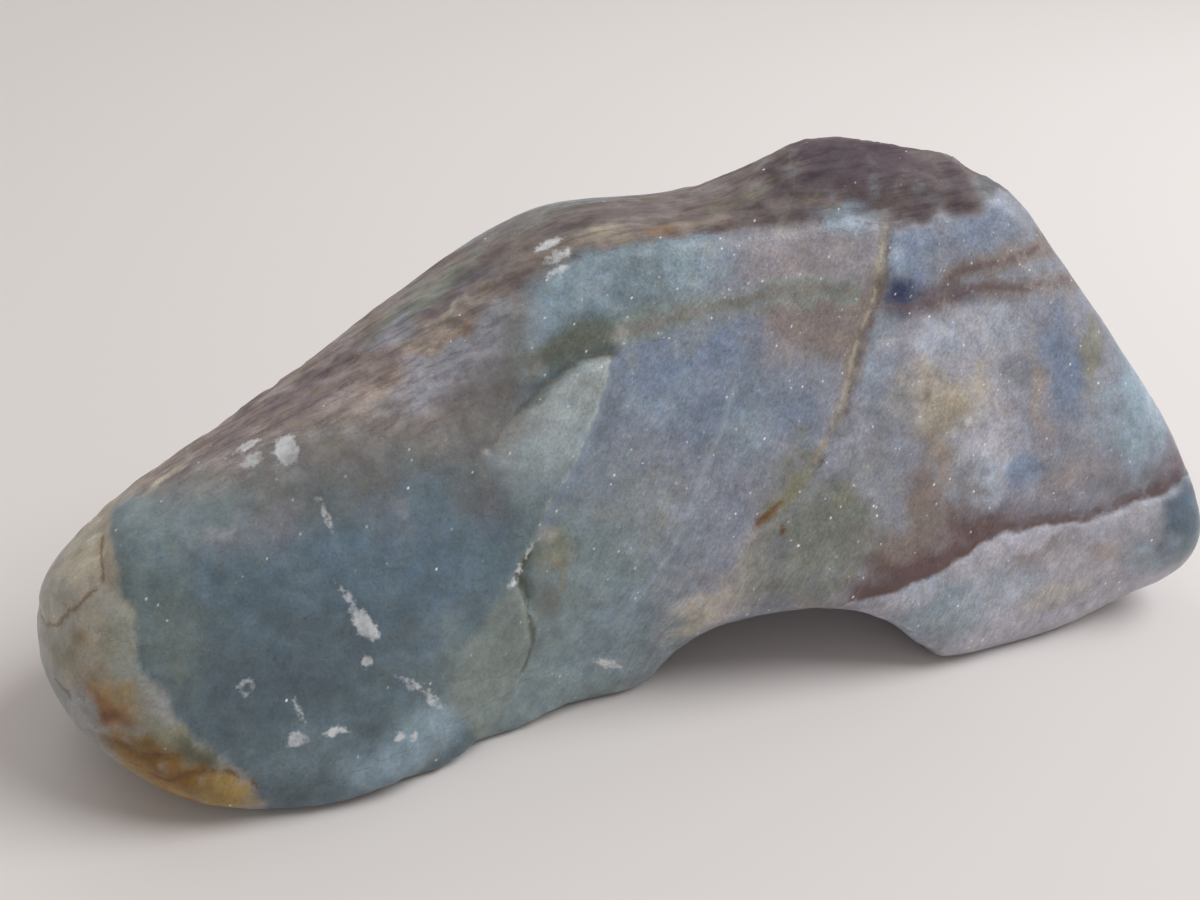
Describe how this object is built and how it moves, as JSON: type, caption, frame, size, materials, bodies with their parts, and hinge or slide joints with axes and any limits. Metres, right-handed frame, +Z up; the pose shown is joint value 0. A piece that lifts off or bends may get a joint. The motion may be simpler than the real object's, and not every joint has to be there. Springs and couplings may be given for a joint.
{
  "type": "raw jade stone",
  "caption": "Water-worn piece of rough jade with a blunt nose, a humped back, a low arch underneath and a flat worn base; a loose natural stone that rests on a surface.",
  "frame": {"origin": "centre of the stone's outline seen from above, on the plane it rests on", "axes": "+X along the length from the blunt nose to the small knob, -Y out of the broad front face, +Z up"},
  "size_m": [0.0686, 0.0278, 0.028],
  "materials": {
    "jade_stone": "waxy satin, water-worn"
  },
  "bodies": {
    "root": {"jade_stone": "jade_stone"}
  },
  "joints": []
}
